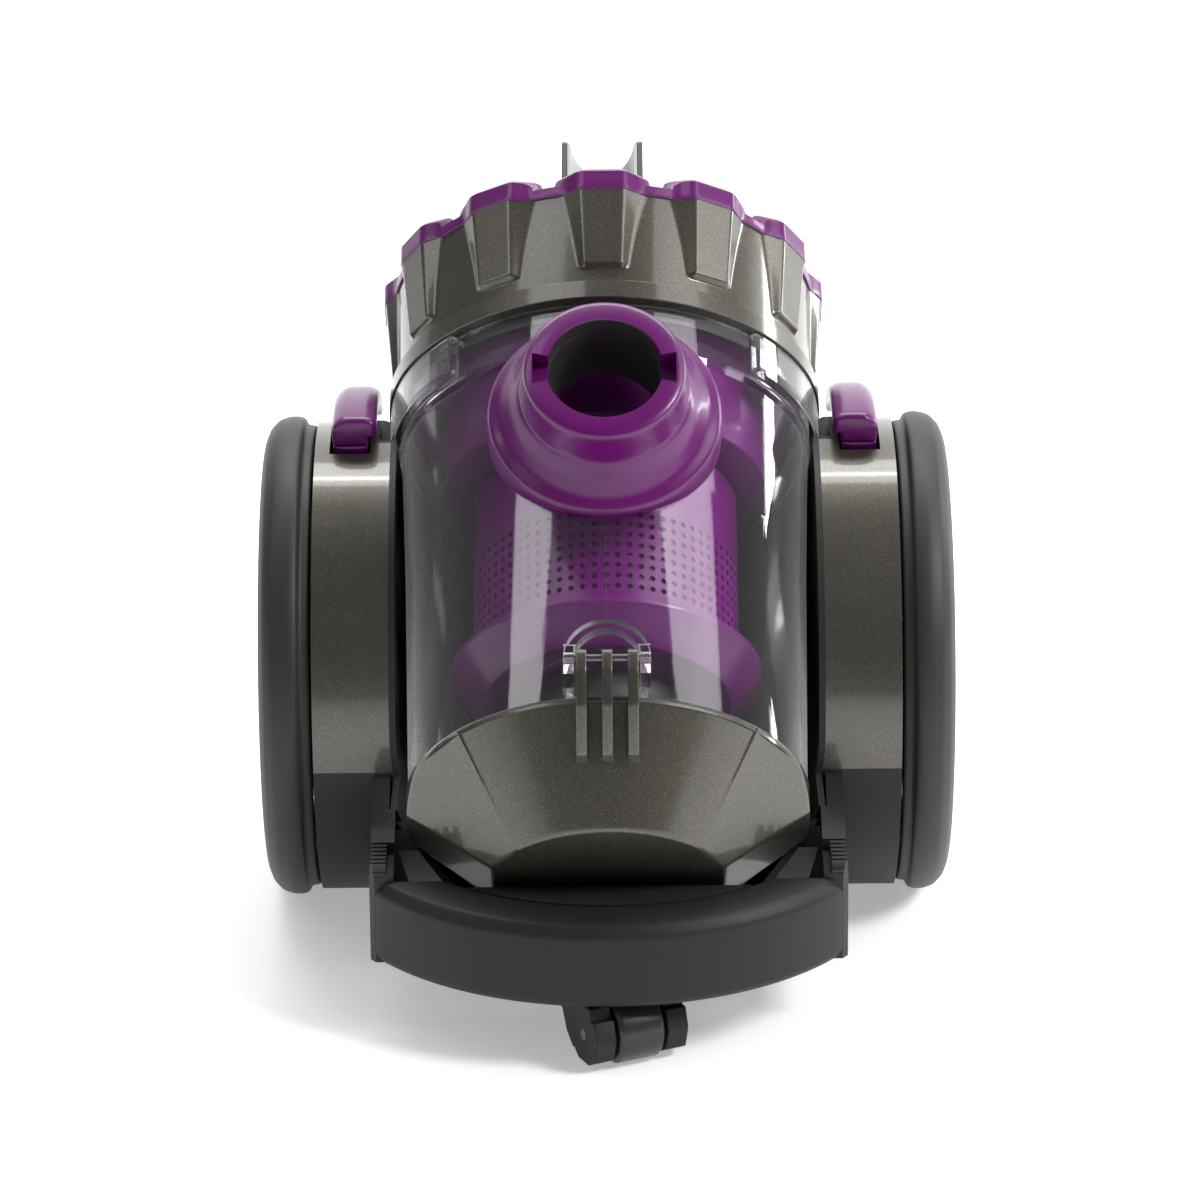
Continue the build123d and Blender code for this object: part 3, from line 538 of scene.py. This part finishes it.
def drawn_in(section, middle, inset):
    """The section once per station, each point moved towards the middle by that station's inset."""
    offset = section - middle
    size = np.linalg.norm(offset, axis=1)
    outline = middle + offset * np.clip(1 - inset[:, None] / size, 0, 1)[..., None]
    return outline[..., 0], outline[..., 1]


def curved_block(name, place, radii, angles, alongs, soft=0.5, steps=22):
    """A block bent round an axis: its rounded section is carried from the first angle to the
    last, and the ends draw in by the same softness."""
    (r0, r1), (a0, a1), (z0, z1) = radii, angles, alongs
    section = softened([(r0, z0), (r1, z0), (r1, z1), (r0, z1)], soft)
    rounding = soft * np.array([CLOSED, 1, 0.6, 0.15, 0])
    inset = np.concatenate([rounding, np.zeros(steps), rounding[::-1]])
    edge = soft / ((r0 + r1) / 2)
    ends = edge * np.array([0, 0, 0.1, 0.5, 1])
    between = np.linspace(a0 + edge, a1 - edge, steps + 2)[1:-1]
    angle = np.concatenate([a0 + ends, between, a1 - ends[::-1]])[:, None]
    r, along = drawn_in(section, section.mean(0), inset)
    if place == "bin":
        points = at_bin(r * np.sin(angle), r * np.cos(angle), along)
    else:
        points = at_axle(-r * np.cos(angle), r * np.sin(angle), along)
    return surface(name, points, wrap_rows=False)


stands_for(head_shell(), "head_shell")
for label, (a0, a1) in (("right", (52, 70)), ("left", (-88, -70))):
    lug = curved_block(f"bayonet_lug_{label}", "bin", (85.3, 87.3), np.radians([a0, a1]),
                       (166, 181), 0.4)
    stands_for(lug, "head_shell")
print("head", len(made))

# %% [markdown]
# The cap is a low disc with a raised lobe over each rib. Its top is a height over
# the plan: inside a lobe the height climbs a bevel and levels off, outside it falls
# steeply to the disc, and both meet in small fillets.

# %% Head cap
LOBE_FACE = 92
FLANK = (0.621, 0.784, 77.97)


def head_cap(columns=960):
    """Top height from the smooth smallest distance to the lobe's four edges in plan."""
    angle = circle_angles(columns)[None, :]
    a = lobe_angle(angle)
    flank = FLANK[2] / (FLANK[0] * np.sin(a) + FLANK[1] * np.cos(a))
    rim = smooth_max(smooth_min(LOBE_FACE / np.cos(a), flank, 1.5), 88.5 + 0 * a, 1.2)
    inward = np.concatenate([[0, 0.3, 0.7, 1.2, 1.8], np.linspace(2.5, 36, 40), [45, 60, 75]])[:, None]
    r = np.maximum(rim - inward, 0)
    x, y = r * np.sin(a), r * np.cos(a)
    edge = smooth_min(smooth_min(LOBE_FACE - y, FLANK[2] - FLANK[0] * x - FLANK[1] * y, 1.2),
                      smooth_min(0.28 - 0.975 * x + 0.223 * y, y - 60, 1.2), 1.2)
    climb = smooth_min(np.where(edge > 0, 1.1 * edge, 8 * edge), 3.5 + 0 * edge, 1.4)
    disc = 238.5 - 2.0 * (1 - smooth_step(0, 2.5, 88.5 - r))
    top = smooth_max(240.5 + climb, disc, 0.8)
    wall_s = np.array([[232.0], [232.3], [233.0]]) + 0 * angle
    rise = np.linspace(0.3, 0.9, 4)[:, None]
    wall_s = np.concatenate([wall_s, wall_s[-1:] + (top[:1] - wall_s[-1:]) * rise])
    wall_r = rim - np.array([0.5, 0.1, 0, 0, 0, 0, 0.05])[:, None]
    under_r = np.array([[0.0], [83.0], [83.0]]) + 0 * angle
    under_s = np.array([[235.5], [235.5], [232.0]]) + 0 * angle
    all_r = np.concatenate([under_r, wall_r, r, 0 * angle])
    all_s = np.concatenate([under_s, wall_s, top, 238.5 + 0 * angle])
    points = at_bin(all_r * np.sin(angle), all_r * np.cos(angle), all_s)
    return surface("head_cap_form", points, sharp=35)


stands_for(head_cap(), "head_cap")
print("cap faces", len(made[-1].data.polygons))

# %% [markdown]
# ## The hose inlet
# A bell stands on the cup. Its outline is turned round the inlet's own axis, and
# wherever the outline would sink into the cup, it stops on the cup's wall. Two
# notches in the mouth take the pins of the hose cuff.

# %% Inlet bell
INLET_UP = 128


def cup_radius(s):
    """The cup's outer radius at a height along its axis."""
    return np.interp(s, [0, 100, 156, 160, 180], [80, 82, 84, 85, 85])


def inlet_port(columns=720):
    """The outline's standing height, or the cup's wall where that is higher."""
    angle = circle_angles(columns)[None, :]
    outer = np.array([(47, 60), (47, 82.5), (46, 84.4), (42, 87.2), (38, 92.4), (35, 98),
                      (33.4, 100), (32.5, 114), (31.6, 116.1), (29.5, 117)], float)
    middle = outer[1:-1]
    before, after = middle + (outer[:-2] - middle) * 0.3, middle + (outer[2:] - middle) * 0.3
    t = np.linspace(0, 1, 6)[None, :, None]
    bends = (1 - t) ** 2 * before[:, None] + 2 * t * (1 - t) * middle[:, None] + t ** 2 * after[:, None]
    outer = np.concatenate([outer[:1], bends.reshape(-1, 2), outer[-1:]])
    notch = 28.5 / np.maximum(np.abs(np.cos(angle)), 0.5)
    is_notch = np.abs(22.5 * np.sin(angle)) < 5.5
    mouth = np.where(is_notch, notch, 22.9)
    ones = np.ones_like(angle)
    r = np.concatenate([outer[:, :1] * ones, mouth + 0.4 * (~is_notch), mouth, mouth,
                        np.where(is_notch, 22.5, 22.6), 22.5 * ones, 24.7 * ones, 24.7 * ones])
    q = np.concatenate([outer[:, 1:] * ones, 117 * ones, 116.5 * ones, 109 * ones, 109 * ones, 77.8 * ones,
                        77.8 * ones, 84 * ones])
    across, up = r * np.cos(angle), r * np.sin(angle)
    saddle = np.sqrt(np.maximum(cup_radius(INLET_UP + up) ** 2 - across ** 2, 0)) + 0.05
    outside = np.zeros(len(r), bool)
    outside[:len(outer)] = True
    q = np.where(outside[:, None], np.maximum(q, saddle), q)
    return surface("inlet_port_form", at_bin(across, q, INLET_UP + up), sharp=38)


stands_for(inlet_port(), "inlet_port")
print("inlet faces", len(made[-1].data.polygons))

# %% [markdown]
# ## The bottom door
# The door is a shallow cone with four flat facets cut across it, as a moulder would
# mill them into the tool. In each direction the door ends at the nearest of the cone
# and the facets, with a small radius where two of them meet.

# %% Bottom door
def facet(corner, foot, waist):
    """Normal and distance of the plane through three points, pointing away from the axis."""
    corner, foot, waist = (np.array(v, float) for v in (corner, foot, waist))
    normal = np.cross(foot - corner, waist - corner)
    normal = normal / np.linalg.norm(normal)
    normal = normal * np.sign(normal @ foot)
    return normal, normal @ foot


def bin_door(columns=720):
    """Radius along each ray: the smooth smallest of the cone and the facets that face the ray."""
    angle = circle_angles(columns)[None, :]
    s = np.concatenate([[-0.5, -0.7, -1.2], np.linspace(-2, -41, 60), [-42, -42.8, -43.2]])[:, None]
    azimuth = np.abs((angle + math.pi) % (2 * math.pi) - math.pi)
    side, front = np.sin(azimuth), np.cos(azimuth)
    cone = 80 + (80 - 48.6) * s / 43.4 + 0 * angle
    planes = [facet((60, 54, 0), (35.6, 33, -43.4), (80.7, 7, -12)),
              facet((80.7, 7, -12), (45.2, 13.6, -43.4), (45.2, -30, -43.4))]
    block = 80.7 + 0 * cone
    beside = smooth_step(math.radians(46.8), math.radians(47.6), azimuth) * (
        1 - smooth_step(math.radians(99), math.radians(102), azimuth))
    for normal, distance in planes:
        reach = normal[0] * side + normal[1] * front
        hit = (distance - normal[2] * s) / np.maximum(reach, 0.05)
        block = smooth_min(block, np.where(reach > 0.05, hit, 200.0), 0.6)
    r = cone + (block - cone) * beside
    r = np.minimum(r, 80.7)
    r = np.concatenate([r[:1] - 0.3, r[1:-2], r[-2:-1] - 0.2, r[-1:] - 0.7, 0 * angle])
    s = np.concatenate([s, [[-43.4]]])
    inner = np.array([(0, -40.4), (42, -40.4), (75.5, -2), (79.4, -2), (79.4, -0.5)])
    r = np.concatenate([r, inner[:, :1] + 0 * angle])
    s = np.concatenate([s, inner[:, 1:]]) + 0 * angle
    return surface("bin_door_form", at_bin(r * np.sin(angle), r * np.cos(angle), s), sharp=30)


stands_for(bin_door(), "bin_door")
print("door faces", len(made[-1].data.polygons))


# %% [markdown]
# ## Flat pieces
# Flat pieces are an outline with a thickness. `slab` sweeps the softened outline
# through its thickness in a few rings, drawn in at both faces for a rounded edge.

# %% Slabs
def slab(name, outline, low, high, soft, corner):
    """An outline of (front, along) points carried across from low to high."""
    loop = softened(np.array(outline, float) + (1000, 0), corner) - (1000, 0)
    before, after = np.roll(loop, 1, 0), np.roll(loop, -1, 0)
    tangent = after - before
    normal = np.stack([tangent[:, 1], -tangent[:, 0]], -1)
    normal = normal / np.maximum(np.linalg.norm(normal, axis=1, keepdims=True), 1e-9)
    area = np.sum(before[:, 0] * loop[:, 1] - loop[:, 0] * before[:, 1])
    normal = normal * np.sign(area)
    turn = np.linspace(0, math.pi / 2, 4)
    draw = soft * np.concatenate([1 - np.sin(turn), 1 - np.sin(turn[::-1])])
    across = np.concatenate([low + soft * (1 - np.cos(turn)), high - soft * (1 - np.cos(turn[::-1]))])
    rings = loop[None] - normal[None] * draw[:, None, None]
    points = at_bin(across[:, None], rings[..., 0], rings[..., 1])
    rows, columns = points.shape[:2]
    index = np.arange(rows * columns).reshape(rows, columns)
    nxt = np.roll(index, -1, 1)
    quads = np.stack([index[:-1], nxt[:-1], nxt[1:], index[1:]], -1).reshape(-1, 4).tolist()
    mesh = bpy.data.meshes.new(name)
    mesh.from_pydata(points.reshape(-1, 3).tolist(), [], quads + [index[0].tolist(), index[-1].tolist()])
    return finish_mesh(name, mesh, 35)


rib = [(90.2, 13), (89.6, 15.2), (87.5, 16.6), (85.2, 16.4), (83.2, 14.8), (82.8, 9), (81.4, 1),
       (80.4, -0.4), (77.6, -4.4), (62, -21), (70, -21), (84.5, -6), (90.2, 6)]
for label, x in (("left", -10.1), ("middle", 0), ("right", 10.1)):
    stands_for(slab(f"hinge_rib_{label}", rib, x - 2.1, x + 2.1, 0.4, 1.5), "bin_door")
catch = [(-76, -4.5), (-82.2, -4.5), (-82.2, -2.2), (-76, -2.2)]
stands_for(slab("door_catch", catch, -6, 6, 0.3, 0.3), "bin_door")
seam = [(80.5, 33), (81.75, 84), (81.2, 84), (79.9, 33)]
line = slab("mould_line", seam, -0.16, 0.16, 0.05, 0.05)
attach(line, "bin")
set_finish(line, "clear_plastic")
print("pieces with the door's", len(made))

# %% [markdown]
# ## Bumper and pedals
# The bumper is a section carried round the nose. It ends on a straight line across
# the cleaner, so each point of the section turns through its own angle. The pedals
# are short curved blocks on the drum, with well-rounded edges.

# %% Bumper
def bumper(stations=120):
    """The section's outline turned about the nose's centre, as far as the line where the arms begin."""
    section = softened([(91, 28), (110.5, 28), (113, 31), (113, 58), (110, 62.4), (104, 63), (91, 63)], 1.6)
    t = np.concatenate([[-1, -1], np.linspace(-1, 1, stations), [1, 1]])
    inset = np.concatenate([[CLOSED, 0.8, 0.2], np.zeros(stations - 2), [0.2, 0.8, CLOSED]])
    r, z = drawn_in(section, section.mean(0), inset)
    angle = t[:, None] * np.arccos(64.5 / section[None, :, 0])
    x, y = r * np.sin(angle), -53.5 - r * np.cos(angle)
    points = MM * np.stack([x, np.minimum(y, -118.0), z], -1)
    return surface("bumper_form", points, wrap_rows=False)


stands_for(bumper(), "bumper")
print("bumper faces", len(made[-1].data.polygons))


# %% Pedals
def pedal(name, side, steps=40):
    """A section with a relief along its inner edge, carried over the drum and drawn in at both ends."""
    rounded = softened([(99.4, 96.9), (99.4, 111.9), (108.5, 111.9), (112.4, 107.5), (112.4, 97.5),
                        (110.5, 93.6), (103.9, 93.6), (103.9, 96.9)], 2.4, 5)
    rounding = np.array([CLOSED, 2.2, 1.2, 0.5, 0.1])
    inset = np.concatenate([rounding, np.zeros(steps), rounding[::-1]])
    r, x = drawn_in(rounded, np.array([106.0, 103.0]), inset)
    degrees = np.concatenate([[79, 79, 79.1, 79.5, 80.2], np.linspace(81, 122.5, steps),
                              [123.3, 124, 124.4, 124.5, 124.5]])
    angle = np.radians(degrees)[:, None]
    return surface(name, at_axle(-r * np.cos(angle), r * np.sin(angle), side * x), wrap_rows=False)


for node, side in (("power_pedal", 1), ("rewind_pedal", -1)):
    stands_for(pedal(f"{node}_form", side), node)
    skirt = curved_block(f"{node}_skirt", "axle", (94, 99.6), np.radians([79.5, 123]),
                         sorted((side * 97.2, side * 111.4)))
    stands_for(skirt, node)
print("pedals", len(made))

# %% [markdown]
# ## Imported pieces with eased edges
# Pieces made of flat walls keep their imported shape. A copy of each is merged into a
# clean mesh, its flat faces are joined again, and a narrow bevel rounds the edges.

# %% Eased copies
def eased(node, width, angle=math.radians(35)):
    """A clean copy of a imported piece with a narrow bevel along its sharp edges."""
    mesh = frame["nodes"][node].data.copy()
    edit = bmesh.new()
    edit.from_mesh(mesh)
    bmesh.ops.remove_doubles(edit, verts=edit.verts, dist=2e-6)
    flat = math.radians(0.6)
    bmesh.ops.dissolve_limit(edit, angle_limit=flat, verts=edit.verts, edges=edit.edges)
    bmesh.ops.recalc_face_normals(edit, faces=edit.faces)
    edit.to_mesh(mesh)
    edit.free()
    mesh.materials.clear()
    mesh.shade_smooth()
    piece = bpy.data.objects.new(f"{node}_form", mesh)
    bpy.context.scene.collection.objects.link(piece)
    made.append(piece)
    bevel = piece.modifiers.new("eased_edges", "BEVEL")
    bevel.width = width * MM
    bevel.segments = 2
    bevel.limit_method = "ANGLE"
    bevel.angle_limit = angle
    bevel.use_clamp_overlap = True
    mesh.set_sharp_from_angle(angle=angle)
    return stands_for(piece, node)


for node, width in (("handle_cheek_left", 0.5), ("handle_cheek_right", 0.5), ("handle_core", 0.5),
                    ("release_button", 0.8), ("arm_pads", 0.35), ("exhaust_grille", 0.5),
                    ("caster_fork", 0.6), ("caster_wheel", 0.5)):
    eased(node, width)
print("pieces", len(made))

# %% [markdown]
# ## Finishes go on
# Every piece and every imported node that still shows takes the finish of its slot.

# %% Give out the finishes
for node, shown in frame["nodes"].items():
    shown.data.materials.clear()
    shown.data.materials.append(FINISHES[slot_of_node[node]])
for piece in made:
    piece.data.materials.clear()
    piece.data.materials.append(FINISHES[piece["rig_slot"]])
print("finished", len(frame["nodes"]) + len(made))


# %% [markdown]
# The inlet's bore is a dark sleeve, so its faces take a second finish.

# %% Dark bore
def darken_bore(mesh):
    """Faces near the inlet's axis and below its mouth take the inner finish."""
    mesh.materials.append(FINISHES["inner_plastic"])
    centres = np.empty(len(mesh.polygons) * 3)
    mesh.polygons.foreach_get("center", centres)
    away = (centres.reshape(-1, 3) - BIN_ORIGIN) / MM
    bore = (np.hypot(away @ ACROSS, away @ BIN_UP - INLET_UP) < 23.2) & (away @ BIN_FRONT < 116.6)
    mesh.polygons.foreach_set("material_index", bore.astype(np.int32))
    print("dark faces", int(bore.sum()))


darken_bore(bpy.data.objects["inlet_port_form"].data)

# %% [markdown]
# ## Studio
# The cleaner stands on a pale sweep. A large soft lamp from the front right models
# the lobes, a tall one at the right makes the bright line in the cup, and a weaker
# one fills from the left.

# %% Sweep
def sweep(bend=1.5, wall=6.0):
    """A floor that curves up through a quarter circle into a wall behind the object."""
    turn = np.linspace(0, math.pi / 2, 16)
    depth = np.concatenate([np.linspace(-6, 3, 10), 3 + bend * np.sin(turn), [3 + bend]])
    height = np.concatenate([np.zeros(10), bend - bend * np.cos(turn), [wall]])
    x = np.linspace(-6, 6, 13)[:, None]
    grid = np.stack([x + 0 * depth, 0 * x + depth, 0 * x + height - 0.0002], -1)
    rows, columns = grid.shape[:2]
    index = np.arange(rows * columns).reshape(rows, columns)
    quads = np.stack([index[:-1, :-1], index[1:, :-1], index[1:, 1:], index[:-1, 1:]], -1).reshape(-1, 4)
    mesh = bpy.data.meshes.new("sweep")
    mesh.from_pydata(grid.reshape(-1, 3).tolist(), [], quads.tolist())
    mesh.shade_smooth()
    floor = bpy.data.objects.new("sweep", mesh)
    bpy.context.scene.collection.objects.link(floor)
    material, shader, links = new_material("sweep_paper")
    grain = place_group(material, GRAIN, Scale=300.0, Roughness=0.85, Variation=0.05)
    links.new(grain.outputs["Roughness"], shader.inputs["Roughness"])
    shader.inputs["Base Color"].default_value = (0.93, 0.93, 0.94, 1)
    shader.inputs["Emission Color"].default_value = (1, 1, 1, 1)
    shader.inputs["Emission Strength"].default_value = 0.36
    mesh.materials.append(material)


sweep()


# %% Lamps and world
def lamp(name, place, aim, size, watts):
    """A white rectangular lamp at a place, turned to face its aim."""
    light = bpy.data.lights.new(name, "AREA")
    light.shape = "RECTANGLE"
    light.size, light.size_y = size
    light.energy = watts
    holder = bpy.data.objects.new(name, light)
    holder.location = place
    holder.rotation_euler = (Vector(aim) - Vector(place)).to_track_quat("-Z", "Y").to_euler()
    bpy.context.scene.collection.objects.link(holder)


lamp("key", (1.9, -0.9, 1.9), (0, 0, 0.12), (0.7, 0.7), 52)
lamp("top_back", (0.1, 0.95, 1.9), (0, 0, 0.12), (2.2, 0.6), 26)
lamp("overhead_left", (-1.25, -0.1, 1.95), (0, 0, 0.15), (0.36, 2.2), 8)
lamp("overhead_right", (1.75, 0.0, 1.75), (0, 0, 0.15), (0.55, 2.2), 12)
lamp("strip", (1.65, 1.05, 0.55), (0, -0.05, 0.15), (0.16, 0.8), 9)
lamp("fill", (-2.2, -1.5, 1.3), (0, 0, 0.15), (1.0, 1.2), 3)
lamp("backdrop", (0, 1.6, 3.4), (0, 4.4, 1.0), (4.0, 0.6), 130)
world = bpy.data.worlds.new("studio")
bpy.context.scene.world = world
world.use_nodes = True
world.node_tree.nodes["Background"].inputs["Color"].default_value = (1, 1, 1, 1)
world.node_tree.nodes["Background"].inputs["Strength"].default_value = 0.14
print("lamps", len(bpy.data.lights))

# %% [markdown]
# ## Camera
# A long lens looks down at the front by twenty degrees, from a little over two metres.

# %% Camera
camera_data = bpy.data.cameras.new("camera")
camera_data.lens = 171.72
camera_data.sensor_width = 36
camera = bpy.data.objects.new("camera", camera_data)
right = Vector((0.99996, -0.002985, -0.008200))
up = Vector((0.008727, 0.342007, 0.939655))
back = right.cross(up).normalized()
turn = Matrix((right, up, back)).transposed().to_4x4()
camera.matrix_world = Matrix.Translation((-0.0025, -2.2083, 0.9414)) @ turn
scene = bpy.context.scene
scene.collection.objects.link(camera)
scene.camera = camera
scene.view_settings.view_transform = "Standard"
print("camera", tuple(round(v, 3) for v in camera.matrix_world.translation))
